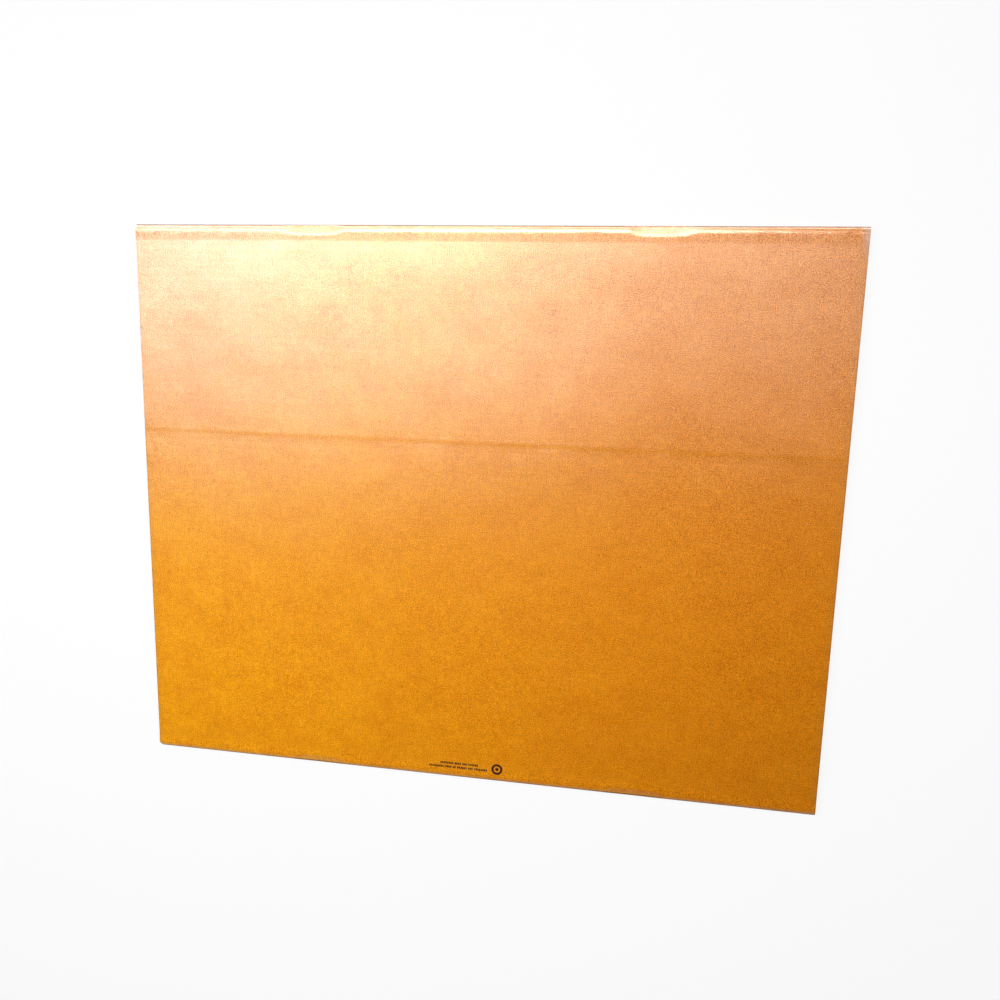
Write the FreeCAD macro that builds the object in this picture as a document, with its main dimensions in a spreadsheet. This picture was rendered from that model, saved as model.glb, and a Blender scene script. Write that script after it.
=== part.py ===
"""Flattened cardboard box: a tube of corrugated board, folded flat, lying on its back.

The board is one strip with four panels. Two of its corners are folded right over and make
the long rounded edges at the two ends of Y. The other two lie open: the score line across
the front, and the glued seam across the back. Both ends of X are plain cut edges.
Millimetres, +Z up, origin in the middle of the underside.
"""
import FreeCAD, Part
import os
import Sketcher
from FreeCAD import Vector

doc = FreeCAD.newDocument("FlattenedBox")

# Driving dimensions
sheet = doc.addObject("Spreadsheet::Sheet", "Sizes")
sizes = {
    "flat_length": 600.0,      # along the folds, from cut edge to cut edge
    "flat_width": 480.0,       # from folded edge to folded edge
    "board": 3.0,              # thickness of the corrugated board
    "narrow_panel": 178.3,     # from the far folded edge to the score on the front
    "bead_rise": 0.6,          # how far the sprung fold stands above the flat panel
    "crushed_band": 13.2,      # from a folded edge to the line where the flat panel begins
    "score_width": 6.0,        # groove that the scoring wheel left on the front
    "score_depth": 0.6,
    "tab_width": 35.0,         # glued tab inside the seam on the back
    "tab_thickness": 1.0,      # the tab is crushed thin so that the box lies flat
    "tab_clearance": 0.2,      # air between the tab and the front layer
    "seam_ramp": 4.3,          # where the board bends inwards to become the tab
    "seam_slit": 0.7,          # open slit along the seam
    "strap_spacing": 288.0,    # between the two straps that had pressed the folded edges
    "strap_shift": 3.0,        # both strap marks lie this far off the middle
    "strap_width": 58.0,       # length of one strap mark along the fold
    "strap_depth": 2.0,        # how deep a strap pressed the rounded edge
    "strap_tilt": 20.0,        # slope of the pressed place, in degrees
    "corner_wear": 5.0,        # radius of the one corner that is rubbed round
}
for row, (name, size) in enumerate(sizes.items(), start=1):
    sheet.set(f"A{row}", name)
    sheet.set(f"B{row}", str(size))
    sheet.setAlias(f"B{row}", name)
doc.recompute()

# Places that follow from the driving dimensions
LAYER_GAP = "(Sizes.tab_thickness + Sizes.tab_clearance)"
PANEL_TOP = f"(2 * Sizes.board + {LAYER_GAP})"
BEAD_TOP = f"({PANEL_TOP} + Sizes.bead_rise)"
NOSE_RADIUS = f"({BEAD_TOP} / 2)"
FOLD = "(Sizes.flat_width / 2)"
CUT = "(Sizes.flat_length / 2)"
NOSE_CENTRE = f"({FOLD} - {NOSE_RADIUS})"
BAND_LINE = f"({FOLD} - Sizes.crushed_band)"
SEAM = f"(Sizes.narrow_panel - {FOLD})"
SEAM_LIP = f"({SEAM} - Sizes.seam_slit)"
RAMP_FOOT = f"({SEAM_LIP} - Sizes.seam_ramp)"
TAB_END = f"({SEAM} + Sizes.tab_width)"
TAB_TOP = "(Sizes.board + Sizes.tab_thickness)"
FRONT_INSIDE = f"(Sizes.board + {LAYER_GAP})"


def value(size):
    """Give the number that a size stands for."""
    return float(sheet.evalExpression(size))


def new_sketch(body, role, name):
    """Put an empty sketch on one of the body's own origin planes."""
    sketch = body.newObject("Sketcher::SketchObject", name)
    plane = next(item for item in body.Origin.OriginFeatures if item.Role == role)
    sketch.AttachmentSupport = [(plane, "")]
    sketch.MapMode = "FlatFace"
    return sketch


def tie(sketch, kind, edge, point, size):
    """Tie one point of an edge to a size, measured from the sketch's origin."""
    index = sketch.addConstraint(Sketcher.Constraint(kind, -1, 1, edge, point, value(size)))
    sketch.setExpression(f"Constraints[{index}]", size)


def draw_loop(sketch, corners, arcs=None):
    """Draw a closed loop through (across, up) corners.

    arcs gives, for the corner at which an arc starts, how far across its centre lies. Every
    arc turns anticlockwise, so the loop is listed in the direction that suits its arcs.
    """
    arcs = arcs or {}
    places = [Vector(value(across), value(up), 0) for across, up in corners]
    first = sketch.GeometryCount
    for index, start in enumerate(places):
        end = places[(index + 1) % len(places)]
        if index in arcs:
            across = value(arcs[index])
            halfway = (start + end) / 2
            chord = end - start
            centre = halfway
            if abs(chord.y) > 1e-9:
                centre = halfway + Vector(1, -chord.x / chord.y, 0) * (across - halfway.x)
            circle = Part.Circle(centre, Vector(0, 0, 1), (start - centre).Length)
            edge = Part.ArcOfCircle(circle, circle.parameter(start), circle.parameter(end))
        else:
            edge = Part.LineSegment(start, end)
        sketch.addGeometry(edge, False)
    for index, (across, up) in enumerate(corners):
        following = first + (index + 1) % len(corners)
        sketch.addConstraint(Sketcher.Constraint("Coincident", first + index, 2, following, 1))
        tie(sketch, "DistanceX", first + index, 1, across)
        tie(sketch, "DistanceY", first + index, 1, up)
    for index, across in arcs.items():
        tie(sketch, "DistanceX", first + index, 3, across)


def build_folded_board(body):
    """The two layers of board, their folded ends and the glued seam, as one long section."""
    section = new_sketch(body, "YZ_Plane", "board_section")
    outside = [
        (f"-{NOSE_CENTRE}", "0"),
        (RAMP_FOOT, "0"),
        (SEAM_LIP, "Sizes.board"),
        (SEAM, "Sizes.board"),
        (SEAM, "0"),
        (NOSE_CENTRE, "0"),
        (NOSE_CENTRE, BEAD_TOP),
        (BAND_LINE, PANEL_TOP),
        (f"-{BAND_LINE}", PANEL_TOP),
        (f"-{NOSE_CENTRE}", BEAD_TOP),
    ]
    draw_loop(section, outside, {5: NOSE_CENTRE, 9: f"-{NOSE_CENTRE}"})
    inside = [
        (f"-{NOSE_CENTRE}", "Sizes.board"),
        (RAMP_FOOT, "Sizes.board"),
        (SEAM_LIP, TAB_TOP),
        (TAB_END, TAB_TOP),
        (TAB_END, "Sizes.board"),
        (NOSE_CENTRE, "Sizes.board"),
        (NOSE_CENTRE, FRONT_INSIDE),
        (f"-{NOSE_CENTRE}", FRONT_INSIDE),
    ]
    draw_loop(section, inside, {5: NOSE_CENTRE, 7: f"-{NOSE_CENTRE}"})
    board = body.newObject("PartDesign::Pad", "folded_board")
    board.Profile = section
    board.SideType = "Symmetric"
    board.setExpression("Length", "Sizes.flat_length")


def cut_score(body):
    """The shallow round groove across the front, between its two panels."""
    groove = new_sketch(body, "YZ_Plane", "score_section")
    radius = "(Sizes.score_width ^ 2 / (8 * Sizes.score_depth) + Sizes.score_depth / 2)"
    across = f"({FOLD} - Sizes.narrow_panel)"
    up = f"({PANEL_TOP} - Sizes.score_depth + {radius})"
    wheel = Part.Circle(Vector(value(across), value(up), 0), Vector(0, 0, 1), value(radius))
    sketch_circle = groove.addGeometry(wheel, False)
    tie(groove, "DistanceX", sketch_circle, 3, across)
    tie(groove, "DistanceY", sketch_circle, 3, up)
    size = groove.addConstraint(Sketcher.Constraint("Radius", sketch_circle, value(radius)))
    groove.setExpression(f"Constraints[{size}]", radius)
    score = body.newObject("PartDesign::Pocket", "score")
    score.Profile = groove
    score.SideType = "Symmetric"
    score.setExpression("Length", "Sizes.flat_length * 1.1")


def press_strap_mark(body, name, strap, side):
    """One long shallow mark where a strap pressed the rounded edge of a fold.

    The mark is cut by a wide cylinder, which lies across the edge and slopes down outwards.
    """
    radius = "(Sizes.strap_width ^ 2 / (8 * Sizes.strap_depth) + Sizes.strap_depth / 2)"
    reach = f"({NOSE_RADIUS} - Sizes.strap_depth + {radius})"
    height = f"(8 * {NOSE_RADIUS})"
    lean = "(Sizes.strap_tilt * 1 deg)"
    mark = body.newObject("PartDesign::SubtractiveCylinder", name)
    mark.setExpression("Radius", radius)
    mark.setExpression("Height", height)
    mark.Placement.Rotation = FreeCAD.Rotation(Vector(-side, 0, 0), 90 + value("Sizes.strap_tilt"))
    mark.setExpression("Placement.Rotation.Angle", f"90 deg + {lean}")
    mark.setExpression("Placement.Base.x",
                       f"Sizes.strap_shift + {strap} * Sizes.strap_spacing / 2")
    mark.setExpression("Placement.Base.y",
                       f"{side} * ({NOSE_CENTRE} + sin({lean}) * {reach} - cos({lean}) * {height} / 2)")
    mark.setExpression("Placement.Base.z",
                       f"{NOSE_RADIUS} + cos({lean}) * {reach} + sin({lean}) * {height} / 2")


def rub_corner(body):
    """The near left corner, rubbed round through both layers."""
    corner = new_sketch(body, "XY_Plane", "worn_corner_outline")
    left = f"-{CUT}"
    near = f"-{FOLD}"
    inwards = f"({left} + Sizes.corner_wear)"
    outline = [
        (left, near),
        (left, f"({near} + Sizes.corner_wear)"),
        (inwards, near),
    ]
    draw_loop(corner, outline, {1: inwards})
    worn = body.newObject("PartDesign::Pocket", "worn_corner")
    worn.Profile = corner
    worn.SideType = "Symmetric"
    worn.setExpression("Length", f"4 * {BEAD_TOP}")


box = doc.addObject("PartDesign::Body", "flattened_box")
build_folded_board(box)
doc.recompute()
cut_score(box)
doc.recompute()
for strap, hand in ((-1, "left"), (1, "right")):
    for side, end in ((-1, "near"), (1, "far")):
        press_strap_mark(box, f"strap_mark_{hand}_{end}", strap, side)
rub_corner(box)
doc.recompute()

for item in doc.Objects:
    if "Invalid" in item.State or "Error" in item.State:
        raise RuntimeError(f"{item.Name} could not be built")
if box.Shape.isNull() or not box.Shape.isValid():
    raise RuntimeError("the box has no valid shape")

os.makedirs("parts", exist_ok=True)
box.Shape.exportStep(f"parts/{box.Label}.step")
print(f"{box.Label}: {len(box.Shape.Solids)} solid, volume {box.Shape.Volume:.0f} mm3,"
      f" box {box.Shape.BoundBox}")
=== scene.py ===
# %% [markdown]
# # A flattened cardboard box
#
# A brown corrugated box, folded flat and lying on its back. Everything here is made around the
# measured solid, so lengths are real. The box is one strip of board in a closed loop: two of its
# four corners are folded right over, one is an open score across the front, and one is the glued
# seam on the back.

import math

import bmesh
import bpy
from mathutils import Matrix, Vector, noise


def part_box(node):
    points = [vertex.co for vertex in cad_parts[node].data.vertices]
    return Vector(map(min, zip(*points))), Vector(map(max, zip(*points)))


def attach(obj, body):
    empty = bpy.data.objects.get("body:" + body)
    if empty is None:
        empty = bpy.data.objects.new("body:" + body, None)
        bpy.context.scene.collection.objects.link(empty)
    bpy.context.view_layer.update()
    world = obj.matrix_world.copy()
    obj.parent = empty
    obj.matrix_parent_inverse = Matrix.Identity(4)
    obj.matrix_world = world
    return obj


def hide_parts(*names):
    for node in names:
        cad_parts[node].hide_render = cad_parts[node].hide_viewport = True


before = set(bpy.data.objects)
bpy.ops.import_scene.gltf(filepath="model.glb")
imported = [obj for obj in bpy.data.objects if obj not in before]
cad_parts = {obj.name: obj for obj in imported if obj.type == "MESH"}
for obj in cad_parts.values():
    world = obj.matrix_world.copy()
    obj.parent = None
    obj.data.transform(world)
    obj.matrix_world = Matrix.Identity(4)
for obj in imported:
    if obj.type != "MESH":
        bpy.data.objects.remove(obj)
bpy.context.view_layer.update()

mm = 0.001
low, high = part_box("flattened_box")
half_length = (high[0] - low[0]) / 2
half_width = (high[1] - low[1]) / 2
print(f"box: {2 * half_length / mm:.0f} x {2 * half_width / mm:.0f} mm,"
      f" {high[2] / mm:.1f} mm thick")

# %% [markdown]
# ## The camera
#
# The photo looks down on the broad face, a little from the right and from the far side, so the
# left and near edges shrink away. A camera's place can be worked out from the four edges of a
# flat rectangle: only one place and one lens put all four where the photo has them.

# %% Camera
camera_place = Vector((0.1479, 0.1515, 0.7329))
camera_turn = (math.radians(-10.135), math.radians(9.958), math.radians(1.399))

camera_data = bpy.data.cameras.new("camera")
camera_data.sensor_width = 36.0
camera_data.lens = 31.932
camera = bpy.data.objects.new("camera", camera_data)
camera.location = camera_place
camera.rotation_euler = camera_turn
bpy.context.scene.collection.objects.link(camera)
bpy.context.scene.camera = camera
print("camera", tuple(round(value, 3) for value in camera.location))

# %% [markdown]
# ## Sizes of the board
#
# Corrugated board is a wavy sheet, the fluting, glued between two flat ones, the liners. This
# one is 3 mm thick. The sizes below are those of the measured solid, apart from three forms that
# the photo shows softer: the bead is lower, the score is shallower, and each fold is drawn out.

# %% Sizes of the board
board = 3.0 * mm
layer_gap = 1.2 * mm
panel_top = 2 * board + layer_gap
bead_rise = 0.45 * mm
nose_radius = panel_top / 2
nose_reach = 6.0 * mm
solid_nose_radius = high[2] / 2
nose_centre = half_width - solid_nose_radius
crushed_band = 13.2 * mm
band_line = half_width - crushed_band
narrow_panel = 178.3 * mm
score_place = half_width - narrow_panel
score_reach = 4.0 * mm
score_depth = 0.07 * mm
seam = -score_place
seam_slit = 0.7 * mm
seam_lip = seam - seam_slit
seam_ramp = 4.3 * mm
ramp_foot = seam_lip - seam_ramp
tab_width = 35.0 * mm
tab_end = seam + tab_width
tab_thickness = 1.0 * mm
tab_top = board + tab_thickness
front_inside = board + layer_gap
strap_places = (-141.0 * mm, 147.0 * mm)
strap_half = 29.0 * mm
strap_depth = 2.0 * mm
strap_margin = 2.0 * mm
strap_tilt = math.radians(20.0)
corner_wear = 5.0 * mm
liner = 0.35 * mm
print(f"panel {panel_top / mm:.1f} mm, bead {bead_rise / mm:.1f} mm higher")


# %% [markdown]
# ## Helpers for meshes
#
# A loop cut is a plane that slices everything it meets and leaves an edge there. It is the
# quickest way to put points just where a crease or a dent needs them, and few elsewhere.

# %% Helpers for meshes
same_place = 0.01 * mm


def loop_cut(bm, place, axis):
    """Slice the whole mesh across one axis at a place."""
    normal = Vector((0, 0, 0))
    normal[axis] = 1
    everything = bm.verts[:] + bm.edges[:] + bm.faces[:]
    bmesh.ops.bisect_plane(bm, geom=everything, plane_co=normal * place, plane_no=normal)


def spread(start, end, step):
    """Even places from start to end, no further apart than step."""
    count = max(1, math.ceil((end - start) / step))
    return [start + (end - start) * index / count for index in range(count + 1)]


def finish_piece(bm, name, sharp_degrees=40):
    """Turn a bmesh into a shaded piece that belongs to the box."""
    mesh = bpy.data.meshes.new(name)
    bm.to_mesh(mesh)
    bm.free()
    mesh.shade_smooth()
    mesh.set_sharp_from_angle(angle=math.radians(sharp_degrees))
    piece = bpy.data.objects.new(name, mesh)
    bpy.context.scene.collection.objects.link(piece)
    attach(piece, "root")
    print(name, len(mesh.polygons), "faces")
    return piece


# %% [markdown]
# ## How the board lies
#
# Pressed and stacked board isn't a perfect slab. One function holds every way in which this one
# departs from it, and each piece is passed through it, so that board, fluting and print all
# move together: the sprung bead along each fold, the fold itself drawn out to half an ellipse,
# the score, the four strap marks, the rubbed corner, and a slow slackness of a few tenths of a
# millimetre in the front layer.

# %% How the board lies
slack_height = 0.22 * mm
slack_size = 0.17
slack_held_by_fold = 40 * mm
edge_crush = 0.04 * mm
edge_crush_reach = 2.2 * mm
fold_tip = 0.999
score_unevenness = 0.3
score_patches_per_metre = 14
strap_ease = 0.25 * mm


def front_share(point):
    """0 in the back layer, 1 on the outside of the front, and a share of 1 in between."""
    return min(1.0, max(0.0, (point.z - front_inside) / (panel_top - front_inside)))


def raise_bead(point):
    """Lift the crushed band next to each fold towards its bead."""
    reach = (abs(point.y) - band_line) / (half_width - nose_reach - band_line)
    point.z += bead_rise * min(1.0, max(0.0, reach)) * point.z / panel_top


def ease_nose(point, start):
    """Draw the half round of a fold out to half an ellipse, as sprung board lies."""
    drawn_out = (abs(start.y) - half_width + nose_reach) / nose_reach
    if drawn_out > 0:
        round_share = max(0.0, (abs(start.y) - half_width + nose_radius) / nose_radius)
        squash = (1 - min(drawn_out, fold_tip) ** 2) / (1 - min(round_share, fold_tip) ** 2)
        point.z = nose_radius + (point.z - nose_radius) * math.sqrt(squash)


def press_score(point, start):
    """Press the score into the front. The box has lain flat since, so little of it is left."""
    away = abs(start.y - score_place) / score_reach
    if away < 1:
        patches = noise.noise(Vector((start.x * score_patches_per_metre, 7.7, 0)))
        uneven = 1 + score_unevenness * patches
        eased = 0.5 + 0.5 * math.cos(math.pi * away)
        point.z -= score_depth * uneven * eased * front_share(start)


def press_straps(point):
    """Flatten the rounded edges where a strap had pulled across them."""
    side = 1 if point.y > 0 else -1
    slope = Vector((0, side * math.sin(strap_tilt), math.cos(strap_tilt)))
    hub = Vector((point.x, side * nose_centre, solid_nose_radius))
    for place in strap_places:
        along = (point.x - place) / strap_half
        if abs(along) < 1:
            depth = strap_depth * (1 - along ** 4)
            proud = (point - hub).dot(slope) - (solid_nose_radius - depth)
            if proud > 0 and abs(point.y) > band_line - strap_margin:
                point -= slope * proud * proud / (proud + strap_ease)


def rub_corner(point):
    """Round the near left corner."""
    inward = Vector((-half_length + corner_wear, -half_width + corner_wear))
    reach = inward - point.xy
    if reach.x > 0 and reach.y > 0 and reach.length > corner_wear:
        point.xy = inward - reach * (corner_wear / reach.length)


def slacken(point, start):
    """Let the front layer rise and fall slowly, and round the lips of its cut edges."""
    swell = noise.noise(Vector((start.x / slack_size, start.y / slack_size, 0.4)))
    fold_hold = min(1.0, (half_width - abs(start.y)) / slack_held_by_fold)
    point.z += slack_height * swell * fold_hold * front_share(start)
    lip = 1 - (half_length - abs(start.x)) / edge_crush_reach
    if lip > 0:
        point.z -= edge_crush * lip * lip * front_share(start)


def settle(bm):
    """Pass every point of a piece through the ways in which the board lies."""
    for vert in bm.verts:
        start = vert.co.copy()
        raise_bead(vert.co)
        ease_nose(vert.co, start)
        press_score(vert.co, start)
        slacken(vert.co, start)
        press_straps(vert.co)
        rub_corner(vert.co)


# %% [markdown]
# ## The section of the folded board
#
# The box has the same section from one cut edge to the other, so it is drawn once, flat, and
# then pulled along. It starts as one rectangle. Bevelling its four corners by half its height
# makes the two folds. Cuts then part the layers, and the air between them is deleted. The glued
# tab stays, and at the seam the board's corner is moved up to make the ramp that leads into it.

# %% Section of the folded board
def near(vert, across, up):
    """Say whether a point of the section lies at a place."""
    return abs(vert.co.y - across) < same_place and abs(vert.co.z - up) < same_place


bm = bmesh.new()
bmesh.ops.create_grid(bm, x_segments=1, y_segments=1, size=0.5)
stand_up = Matrix(((0, 0, 1, 0), (1, 0, 0, 0), (0, 1, 0, 0), (0, 0, 0, 1)))
bmesh.ops.transform(bm, matrix=stand_up, verts=bm.verts)
bmesh.ops.scale(bm, verts=bm.verts, vec=(1, 2 * half_width, panel_top))
bmesh.ops.translate(bm, verts=bm.verts, vec=(-half_length, 0, nose_radius))
bmesh.ops.bevel(bm, geom=bm.verts[:], offset=nose_radius, segments=9, profile=0.5,
                affect="VERTICES", material=-1)
bmesh.ops.remove_doubles(bm, verts=bm.verts, dist=same_place)

flat_step = 12 * mm
score_lines = spread(score_place - score_reach, score_place + score_reach, 0.8 * mm)
band_steps = spread(band_line, half_width - nose_reach, 1.6 * mm)
band_steps += spread(half_width - nose_reach, nose_centre, 0.5 * mm)[1:]
crease_reach = 0.4 * mm
crease = band_line - crease_reach
cuts = band_steps + [-place for place in band_steps] + [crease, -crease] + score_lines
cuts += spread(-band_line, ramp_foot, flat_step)[1:]
cuts += [seam_lip, seam, tab_end]
cuts += spread(seam, tab_end, flat_step)[1:-1]
cuts += spread(tab_end, score_lines[0], flat_step)[1:-1]
cuts += spread(score_lines[-1], band_line, flat_step)[1:-1]
for place in cuts:
    loop_cut(bm, place, 1)
for height in (board, tab_top, front_inside):
    loop_cut(bm, height, 2)

air = []
for face in bm.faces:
    middle = face.calc_center_median()
    between = board < middle.z < front_inside and abs(middle.y) < nose_centre
    in_tab = middle.z < tab_top and ramp_foot < middle.y < tab_end
    in_slit = middle.z < board and seam_lip < middle.y < seam
    if (between and not in_tab) or in_slit:
        air.append(face)
bmesh.ops.delete(bm, geom=air, context="FACES")
for vert in bm.verts:
    if near(vert, seam_lip, 0) or near(vert, ramp_foot, tab_top):
        vert.co.z = board
bmesh.ops.remove_doubles(bm, verts=bm.verts, dist=same_place)
print("section", len(bm.faces), "faces")

# %% [markdown]
# ## Pulling the section along
#
# Extruding the flat section by the box's length gives the whole board, with both cut ends
# closed. Cuts across the length follow: close together at the strap marks and at the ends, and
# wide apart where the board is plain.

# %% Pull the section along
def extrude_along(bm, faces, shift):
    """Extrude faces and move the new ones."""
    made = bmesh.ops.extrude_face_region(bm, geom=faces)
    moved = [part for part in made["geom"] if isinstance(part, bmesh.types.BMVert)]
    bmesh.ops.translate(bm, verts=moved, vec=shift)
    return [part for part in made["geom"] if isinstance(part, bmesh.types.BMFace)]


extrude_along(bm, bm.faces[:], Vector((2 * half_length, 0, 0)))
lip = 6 * mm
mark_starts = [place - strap_half - strap_margin for place in strap_places]
mark_ends = [place + strap_half + strap_margin for place in strap_places]
length_cuts = []
for end in (-1, 1):
    length_cuts += [end * (half_length - step) for step in spread(0, lip, 0.75 * mm)[1:]]
for start, end in zip(mark_starts, mark_ends):
    length_cuts += spread(start, end, 2.5 * mm)
plain_starts = [-half_length + lip] + mark_ends
plain_ends = mark_starts + [half_length - lip]
for start, end in zip(plain_starts, plain_ends):
    length_cuts += spread(start, end, flat_step)[1:-1]
for place in length_cuts:
    loop_cut(bm, place, 0)
print("board", len(bm.faces), "faces")

# %% [markdown]
# ## The open ends of the flutes
#
# At a cut edge you look into the board: two thin liners with a wave of paper between them. The
# end faces of each layer are inset by the thickness of a liner and pushed inwards, which leaves
# the liners standing. The waves go in next, as pieces of their own.

# %% Hollow the cut ends
flute_depth = 12 * mm
layers = {
    "front": (-nose_centre, nose_centre, front_inside, panel_top),
    "back_near": (-nose_centre, ramp_foot, 0, board),
    "back_far": (seam, nose_centre, 0, board),
}
for end in (-1, 1):
    for near_side, far_side, bottom, top in layers.values():
        ends = []
        for face in bm.faces:
            middle = face.calc_center_median()
            at_end = abs(middle.x - end * half_length) < same_place
            if at_end and near_side < middle.y < far_side and bottom < middle.z < top:
                ends.append(face)
        bmesh.ops.inset_region(bm, faces=ends, thickness=liner, depth=0,
                               use_even_offset=True, use_boundary=True)
        extrude_along(bm, ends, Vector((-end * flute_depth, 0, 0)))
        bmesh.ops.delete(bm, geom=ends, context="FACES")
settle(bm)
bmesh.ops.recalc_face_normals(bm, faces=bm.faces)
open_edges = sum(not edge.is_manifold for edge in bm.edges)
print("open edges", open_edges, "volume cm3", round(bm.calc_volume() * 1e6))
folded_board = finish_piece(bm, "folded_board")
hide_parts("flattened_box")

# %% [markdown]
# ## The fluting
#
# Medium flutes come about every 6.4 mm. A strip of grid with twelve steps to a wave is lifted
# by a sine, and solidify gives the paper its thickness. It starts a hair inside the cut edge,
# because the knife drags the soft wave back further than the liners.

# %% Fluting
flute_pitch = 6.4 * mm
flute_paper = 0.25 * mm
knife_drag = 0.25 * mm
wave_steps = 12
wave_held_at_end = 10 * mm
wave_drift = 0.14


def make_fluting(name, end, layer, phase):
    """One waved strip between the liners of one layer, at one cut end."""
    near_side, far_side, bottom, top = layer
    near_side += liner
    far_side -= liner
    width = far_side - near_side
    waves = width / flute_pitch
    lift = (top - bottom - 2 * liner - flute_paper) / 2
    strip = bmesh.new()
    bmesh.ops.create_grid(strip, x_segments=3, y_segments=round(waves * wave_steps), size=0.5)
    depth = flute_depth - knife_drag
    across = end * (half_length - knife_drag - depth / 2)
    for vert in strip.verts:
        vert.co.x = across + vert.co.x * depth
        vert.co.y = (near_side + far_side) / 2 + vert.co.y * width
        edge_room = min(vert.co.y - near_side, far_side - vert.co.y) / wave_held_at_end
        held = 0.5 + 0.5 * min(1.0, edge_room)
        drift = wave_drift * noise.noise(Vector((vert.co.y * 60, phase, 0)))
        wave = math.sin(math.tau * (vert.co.y / flute_pitch + phase + drift))
        vert.co.z = (bottom + top) / 2 + lift * held * wave
    bmesh.ops.solidify(strip, geom=strip.faces[:], thickness=flute_paper)
    bmesh.ops.translate(strip, verts=strip.verts, vec=(0, 0, flute_paper / 2))
    settle(strip)
    bmesh.ops.recalc_face_normals(strip, faces=strip.faces)
    return finish_piece(strip, name)


fluting = []
for end, side in ((-1, "left"), (1, "right")):
    for index, (layer_name, layer) in enumerate(layers.items()):
        fluting.append(make_fluting(f"fluting_{layer_name}_{side}", end, layer, 0.3 * index))

# %% [markdown]
# ## The print
#
# Two short rows and a round mark are stamped near the lower fold. Here they are plain blocks
# and a ring, with no letters. Ink has no thickness, but blocks 0.03 mm high stay sharp at any
# distance and follow the board.

# %% Print
ink_height = 0.03 * mm
block_width = 1.15 * mm
block_height = 1.9 * mm
block_step = 1.5 * mm
word_gap = 0.7
rows = (
    (-24.8 * mm, -226.2 * mm, (8, 4, 3, 6)),
    (-35.0 * mm, -229.8 * mm, (9, 4, 2, 6, 3, 8)),
)


def stamp_block(ink, left, up):
    """One small inked block, resting on the face of the box."""
    size = Matrix.Diagonal((block_width, block_height, ink_height, 1))
    place = Matrix.Translation((left + block_width / 2, up, panel_top + ink_height / 2))
    bmesh.ops.create_cube(ink, size=1, matrix=place @ size)


ink = bmesh.new()
for left, up, words in rows:
    for word in words:
        for _ in range(word):
            stamp_block(ink, left, up)
            left += block_step
        left += block_step * word_gap
ring_radius = 5.0 * mm
ring_width = 2.0 * mm
dot_radius = 1.5 * mm
ring_place = Vector((26.9 * mm, -227.8 * mm, panel_top))
for outer, inner in ((ring_radius, ring_radius - ring_width), (dot_radius, 0)):
    disc = bmesh.new()
    bmesh.ops.create_circle(disc, cap_ends=True, segments=40, radius=outer,
                            matrix=Matrix.Translation(ring_place))
    if inner:
        rim = bmesh.ops.inset_region(disc, faces=disc.faces[:], thickness=outer - inner,
                                     use_boundary=True, use_even_offset=True)
        hole = [face for face in disc.faces if face not in rim["faces"]]
        bmesh.ops.delete(disc, geom=hole, context="FACES")
    extrude_along(disc, disc.faces[:], Vector((0, 0, ink_height)))
    part = bpy.data.meshes.new("ring_part")
    disc.to_mesh(part)
    disc.free()
    ink.from_mesh(part)
    bpy.data.meshes.remove(part)
settle(ink)
bmesh.ops.recalc_face_normals(ink, faces=ink.faces)
printed_marks = finish_piece(ink, "printed_marks", sharp_degrees=30)


# %% [markdown]
# ## Helpers for materials
#
# Colours are written as on a colour card, in sRGB, and turned to the linear values that a
# renderer works with. One function adds a node together with its settings and its links, and
# the others below are only short names for sums that come up again and again.

# %% Helpers for materials
def linear(card):
    """Turn an sRGB hex colour into linear red, green, blue and alpha."""
    parts = [int(card[index:index + 2], 16) / 255 for index in (1, 3, 5)]
    return [part / 12.92 if part < 0.04045 else ((part + 0.055) / 1.055) ** 2.4
            for part in parts] + [1.0]


def add(tree, kind, inputs=None, **settings):
    """Add a node. An input is a value, or the output socket that feeds it."""
    node = tree.nodes.new(kind)
    for name, value in settings.items():
        setattr(node, name, value)
    for name, value in (inputs or {}).items():
        if isinstance(value, bpy.types.NodeSocket):
            tree.links.new(value, node.inputs[name])
        else:
            node.inputs[name].default_value = value
    return node


def start_material(name, roughness):
    """A new material with a shader, its tree, and a socket that gives the place on the box."""
    material = bpy.data.materials.new(name)
    material.use_nodes = True
    tree = material.node_tree
    shader = tree.nodes["Principled BSDF"]
    shader.inputs["Roughness"].default_value = roughness
    shader.inputs["IOR"].default_value = 1.5
    place = add(tree, "ShaderNodeTexCoord").outputs["Object"]
    return material, tree, shader, place


def calculate(tree, operation, first, second=0.0, third=0.0):
    """One sum on up to three numbers."""
    inputs = {0: first, 1: second, 2: third}
    return add(tree, "ShaderNodeMath", inputs, operation=operation).outputs[0]


def mix_colour(tree, share, first, second, blend="MIX"):
    """Blend two colours by a share."""
    inputs = {0: share, 6: first, 7: second}
    return add(tree, "ShaderNodeMix", inputs, data_type="RGBA", blend_type=blend).outputs[2]


def fade(tree, value, start, end):
    """0 at start, 1 at end, smooth between."""
    inputs = {"Value": value, "From Min": start, "From Max": end}
    return add(tree, "ShaderNodeMapRange", inputs, interpolation_type="SMOOTHSTEP").outputs[0]


def noise_at(tree, place, size, detail=2.0, roughness=0.5, stretch=(1, 1, 1)):
    """Noise whose patches are about size metres wide, stretched by a factor along each axis."""
    scale = tuple(1 / (size * factor) for factor in stretch)
    moved = add(tree, "ShaderNodeMapping", {"Vector": place, "Scale": scale}).outputs[0]
    inputs = {"Vector": moved, "Scale": 1.0, "Detail": detail, "Roughness": roughness}
    return add(tree, "ShaderNodeTexNoise", inputs).outputs["Fac"]


def weigh(tree, start, layers):
    """Add noise layers to a start value, each about its own middle and by its own strength."""
    total = start
    for layer, strength in layers:
        offset = calculate(tree, "MULTIPLY_ADD", layer, strength, -0.5 * strength)
        total = calculate(tree, "ADD", offset, total)
    return total


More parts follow.
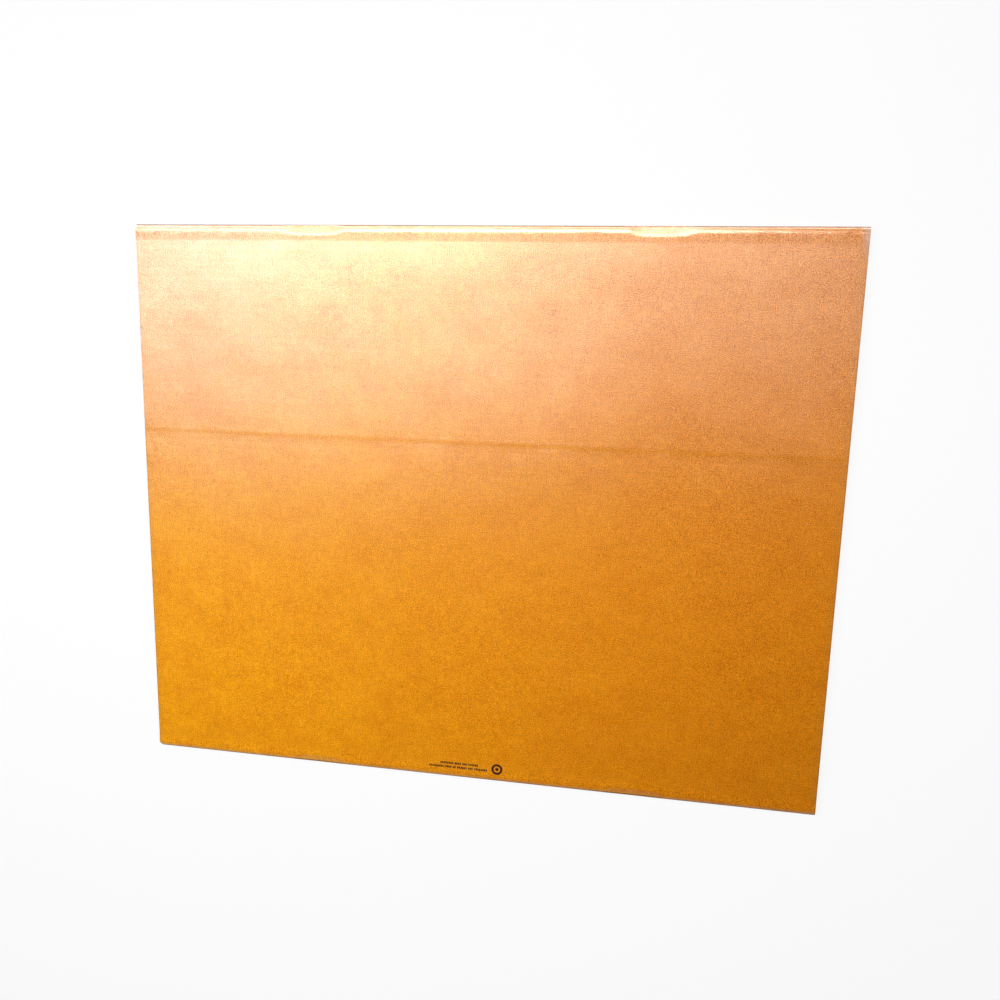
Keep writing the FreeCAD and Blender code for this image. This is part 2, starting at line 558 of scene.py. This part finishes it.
# %% [markdown]
# ## Unbleached kraft liner: the sheet
#
# The liner is brown kraft paper, made on a wire from long pulp fibres. Most fibres lie the way
# the web ran, which on a box is across the flutes, so they show as fine streaks along Y. The
# wire and the waves below leave fainter ones along X. Clumps of pulp give cloudy patches from
# a few millimetres to a few centimetres wide. Real fibres are 0.03 mm thick, too fine for any
# camera at this distance, so the grain here is that of bundles, a millimetre or two wide. Dark
# bundles are redder than pale ones, so the two ends of the scale differ more in green than in
# red. The colour is painted paler towards the left, as painted light where the key falls, and
# darker in the far left corner, as painted shade against the glare there.

# %% Kraft sheet
kraft, tree, shader, place = start_material("kraft_liner", 0.3)
parts_of_place = add(tree, "ShaderNodeSeparateXYZ", {0: place})
along, across = parts_of_place.outputs[:2]

grain = noise_at(tree, place, 0.8 * mm, detail=1, roughness=0.5)
bundles = noise_at(tree, place, 2.6 * mm, detail=1, roughness=0.5)
web_streaks = noise_at(tree, place, 1.0 * mm, detail=1, stretch=(1, 8, 1))
wire_streaks = noise_at(tree, place, 1.2 * mm, detail=1, stretch=(8, 1, 1))
clumps = noise_at(tree, place, 7 * mm, detail=2, roughness=0.55)
clouds = noise_at(tree, place, 22 * mm, detail=2, stretch=(1.5, 1, 1))
broad = noise_at(tree, place, 110 * mm, detail=2)
pulp = weigh(tree, 0.5, ((grain, 1.35), (bundles, 0.12), (web_streaks, 0.25), (wire_streaks, 0.18),
                         (clumps, 0.17), (clouds, 0.15), (broad, 0.08)))

# Painted light: the sheet is paler towards the left, where the key light falls.
painted_light_to_left = fade(tree, along, half_length, -half_length)
sheet = mix_colour(tree, painted_light_to_left, linear("#DD8203"), linear("#EE9B03"))
# Painted shade: the far left corner is darker, against the glare there.
far_left = Vector((-half_length, half_width, panel_top))
from_far_left = add(tree, "ShaderNodeVectorMath", {0: place, 1: far_left}, operation="DISTANCE")
painted_shade_far_left = fade(tree, from_far_left.outputs["Value"], 300 * mm, 20 * mm)
sheet = mix_colour(tree, painted_shade_far_left, sheet, linear("#C8760A"))
redder = fade(tree, noise_at(tree, place, 16 * mm, detail=2), 0.35, 0.75)
sheet = mix_colour(tree, calculate(tree, "MULTIPLY", redder, 0.25), sheet, linear("#DB7A0C"))
fibre = mix_colour(tree, pulp, (0.5, 0.2, 0.2, 1.0), (1.5, 1.8, 1.8, 1.0))
sheet = mix_colour(tree, 1.0, sheet, fibre, blend="MULTIPLY")
print("kraft sheet", len(tree.nodes), "nodes")

# %% [markdown]
# ## Unbleached kraft liner: marks of use, painted shade and a painted highlight
#
# Along the score the colour is painted darker, as painted shade in its crease, more in some
# places than in others, and the scoring wheel has taken the shine there. The band beside each
# fold was crushed too, and has lost a little shine. The colour turns greyer over the last few
# millimetres towards the cut edges, and a thin dark line at each cut edge is painted shade of
# its rounded lip. The crest of each fold is painted paler, as a painted highlight. The outermost
# strip of each fold is painted dark, as painted shade on its flank, reaching further round on
# the near fold, and it is dull there. The far right corner has been rubbed until its top fibres
# stand up pale. Each mark is a share between 0 and 1, worked out from the distance to the edge
# or line that it follows.

# %% Marks of use and painted shade
# Painted shade along the crease of the score; the score also loses shine there.
off_score = calculate(tree, "ABSOLUTE", calculate(tree, "SUBTRACT", across, score_place))
score_shade_and_dull = fade(tree, off_score, 6.5 * mm, 0.3 * mm)
patchy = fade(tree, noise_at(tree, place, 12 * mm, detail=2, stretch=(4, 1, 1)), 0.3, 0.65)
score_shade_and_dull = calculate(tree, "MULTIPLY", score_shade_and_dull, calculate(tree, "MULTIPLY_ADD", patchy, 0.6, 0.5))
painted_score_shade = calculate(tree, "MULTIPLY", score_shade_and_dull, 0.12)
marked = mix_colour(tree, painted_score_shade, sheet, linear("#8A4E08"))
shine = weigh(tree, 0.5, ((grain, 1.3), (clumps, 0.2), (clouds, 0.25)))
shine = calculate(tree, "MULTIPLY_ADD", score_shade_and_dull, -0.17, shine)
from_centre_line = calculate(tree, "ABSOLUTE", across)
crushed = fade(tree, from_centre_line, band_line - crease_reach, band_line + crease_reach)
shine = calculate(tree, "MULTIPLY_ADD", crushed, -0.04, shine)

ragged = noise_at(tree, place, 3 * mm, detail=3)
from_middle = calculate(tree, "ABSOLUTE", along)
from_middle = calculate(tree, "MULTIPLY_ADD", ragged, 1.2 * mm, from_middle)
# Greyer over the last few millimetres towards the cut edges.
greyed = fade(tree, from_middle, half_length - 8 * mm, half_length + 1 * mm)
marked = mix_colour(tree, calculate(tree, "MULTIPLY", greyed, 0.15), marked, linear("#A5803F"))
# Painted shade: a thin dark line at each cut edge, where its lip rounds away from the light.
painted_edge_shade = fade(tree, from_middle, half_length - 0.7 * mm, half_length + 0.8 * mm)
marked = mix_colour(tree, calculate(tree, "MULTIPLY", painted_edge_shade, 0.45), marked, linear("#7D6238"))

# Painted highlight: the crest of each fold is paler.
painted_fold_highlight = fade(tree, from_centre_line, nose_centre - 1.5 * mm, nose_centre + 1.5 * mm)
marked = mix_colour(tree, calculate(tree, "MULTIPLY", painted_fold_highlight, 0.15), marked, linear("#B8924A"))
# Painted shade: the outermost strip of each fold is darker, as its flank turns away from the
# light, further round on the near fold; the strip is also duller.
towards_near_fold = fade(tree, across, 0, -half_width)
flank_distance = calculate(tree, "MULTIPLY_ADD", towards_near_fold, 1.4 * mm, from_centre_line)
fold_flank_shade_and_dull = fade(tree, flank_distance, half_width - 0.7 * mm, half_width - 0.2 * mm)
painted_flank_shade = calculate(tree, "MULTIPLY", fold_flank_shade_and_dull, calculate(tree, "MULTIPLY_ADD", ragged, 0.7, 0.25))
marked = mix_colour(tree, painted_flank_shade, marked, linear("#5E5034"))
shine = calculate(tree, "MULTIPLY_ADD", fold_flank_shade_and_dull, -0.35, shine)
tree.links.new(shine, shader.inputs["Specular IOR Level"])

corner = Vector((half_length, half_width, 0))
from_corner = add(tree, "ShaderNodeVectorMath", {0: place, 1: corner}, operation="SUBTRACT")
squeezed = add(tree, "ShaderNodeVectorMath", {0: from_corner.outputs[0], 1: (1, 0.28, 0)},
               operation="MULTIPLY")
gap = add(tree, "ShaderNodeVectorMath", {0: squeezed.outputs[0]}, operation="LENGTH")
gap = calculate(tree, "MULTIPLY_ADD", ragged, 4 * mm, gap.outputs["Value"])
rubbed = fade(tree, gap, 10 * mm, 3 * mm)
marked = mix_colour(tree, calculate(tree, "MULTIPLY", rubbed, 0.6), marked, linear("#D9B9A8"))
tree.links.new(marked, shader.inputs["Base Color"])
print("with marks of use", len(tree.nodes), "nodes")

# %% [markdown]
# ## Unbleached kraft liner: relief
#
# The sheet is calendered, so it has a broad soft shine, and that shine turns the far left
# corner pale. Its fibre bundles stand a few hundredths of a millimetre proud, and the fluting
# below shows through as a washboard about a hundredth deep. Heights are summed in millimetres,
# so the bump node's distance is one millimetre.

# %% Relief
wave = calculate(tree, "SINE", calculate(tree, "MULTIPLY", across, math.tau / flute_pitch))
relief = weigh(tree, calculate(tree, "MULTIPLY", wave, 0.006),
               ((grain, 0.07), (bundles, 0.06), (web_streaks, 0.08), (clumps, 0.06)))
bump = add(tree, "ShaderNodeBump", {"Height": relief, "Strength": 1.0, "Distance": 1.0 * mm})
tree.links.new(bump.outputs[0], shader.inputs["Normal"])
folded_board.data.materials.append(kraft)
print("kraft liner", len(tree.nodes), "nodes")

# %% [markdown]
# ## Fluting paper
#
# The wave is made of greyer, rougher paper than the liners, often with recycled pulp in it.

# %% Fluting paper
medium, tree, shader, place = start_material("fluting_paper", 0.8)
pulp = noise_at(tree, place, 1.5 * mm, detail=3)
colour = mix_colour(tree, pulp, linear("#9A6A35"), linear("#C08A4C"))
tree.links.new(colour, shader.inputs["Base Color"])
for piece in fluting:
    piece.data.materials.append(medium)

# %% [markdown]
# ## Flexographic ink
#
# Thin water-based ink, pressed on with a rubber plate. It soaks into the kraft, so it dries
# dull and a little uneven.

# %% Flexographic ink
inked, tree, shader, place = start_material("flexographic_ink", 0.6)
soak = noise_at(tree, place, 0.6 * mm, detail=2)
colour = mix_colour(tree, soak, linear("#240B05"), linear("#4E1E0C"))
shader.inputs["Specular IOR Level"].default_value = 0.2
tree.links.new(colour, shader.inputs["Base Color"])
printed_marks.data.materials.append(inked)

# %% [markdown]
# ## Floor and wall
#
# A pale floor carries the box, and far out it turns up into a pale wall, so that every low view
# ends on something white. A camera sees them lifted towards white, as a photographer's light
# table would be, and so would a mirror or a pane of glass. That puts no more light on the box.

# %% Floor and wall
studio_radius = 6.0
wall_height = 3.5
lift_to_white = 0.88
studio = bmesh.new()
bmesh.ops.create_circle(studio, cap_ends=True, segments=64, radius=studio_radius)
wall = bmesh.ops.extrude_edge_only(studio, edges=studio.edges[:])
wall_top = [part for part in wall["geom"] if isinstance(part, bmesh.types.BMVert)]
bmesh.ops.translate(studio, verts=wall_top, vec=(0, 0, wall_height))
floor_mesh = bpy.data.meshes.new("floor_and_wall")
studio.to_mesh(floor_mesh)
studio.free()
floor = bpy.data.objects.new("floor_and_wall", floor_mesh)
bpy.context.scene.collection.objects.link(floor)

paper, tree, shader, place = start_material("pale_floor", 0.9)
shader.inputs["Base Color"].default_value = linear("#F2F2F2")
glow = add(tree, "ShaderNodeEmission", {"Color": linear("#FFFFFF"), "Strength": 1.0})
rays = add(tree, "ShaderNodeLightPath").outputs
seen = calculate(tree, "MAXIMUM", rays["Is Camera Ray"], rays["Is Glossy Ray"])
seen = calculate(tree, "MAXIMUM", seen, rays["Is Transmission Ray"])
share = calculate(tree, "MULTIPLY", seen, lift_to_white)
lifted = add(tree, "ShaderNodeMixShader", {0: share, 1: shader.outputs[0], 2: glow.outputs[0]})
tree.links.new(lifted.outputs[0], tree.nodes["Material Output"].inputs["Surface"])
floor_mesh.materials.append(paper)

# %% [markdown]
# ## Lights
#
# A wide softbox above the left half is the key, and a smaller one to the right fills. Together
# they light the left a third more than the right. The pale glare over the far left is a
# reflection of two cards of light beyond the far edge. The high one is mirrored in the flat
# front. The low one stands on the floor like a window, and the rounded fold mirrors that. Both
# cards are only there to be mirrored, so they add no other light. A grid on each narrows its
# beam, in degrees, so that low views from the near side mirror less of it.

# %% Lights
def add_softbox(name, place, aim, width, height, power, beam=180):
    """A rectangular studio light that faces a point, with its width level."""
    data = bpy.data.lights.new(name, "AREA")
    data.shape = "RECTANGLE"
    data.size = width
    data.size_y = height
    data.energy = power
    data.spread = math.radians(beam)
    facing = (Vector(place) - Vector(aim)).normalized()
    level = Vector((0, 0, 1)).cross(facing).normalized()
    turn = Matrix((level, facing.cross(level), facing)).transposed()
    light = bpy.data.objects.new(name, data)
    light.location = place
    light.rotation_euler = turn.to_euler()
    light.visible_camera = False
    bpy.context.scene.collection.objects.link(light)
    print(name, power, "W")
    return light


add_softbox("key_softbox", (-0.365, 0.106, 0.78), (-0.298, -0.297, 0), 0.90, 0.30, 7.37)
add_softbox("fill_softbox", (0.309, 0.252, 0.659), (0.10, 0, 0), 0.40, 0.40, 1.99)
high_card = add_softbox("high_card", (-0.469, 0.544, 0.522), (-0.404, 0.352, 0), 1.50, 0.61, 26,
                        beam=75.4)
low_card = add_softbox("low_card", (-0.09, 1.128, 0.20), (0.403, 0.093, 0), 2.50, 0.364, 43.3,
                       beam=146.9)
for card in (high_card, low_card):
    card.visible_diffuse = False

# %% [markdown]
# ## Air
#
# Overhead the studio is dark, with a trace of stray light, because kraft only shows its deep
# colour where it mirrors something dark.

# %% Air
stray_light = 0.05
world = bpy.data.worlds.new("studio")
world.use_nodes = True
bpy.context.scene.world = world
sky = world.node_tree.nodes["Background"]
sky.inputs["Color"].default_value = linear("#FFFFFF")
sky.inputs["Strength"].default_value = stray_light

bpy.context.scene.view_settings.view_transform = "Standard"
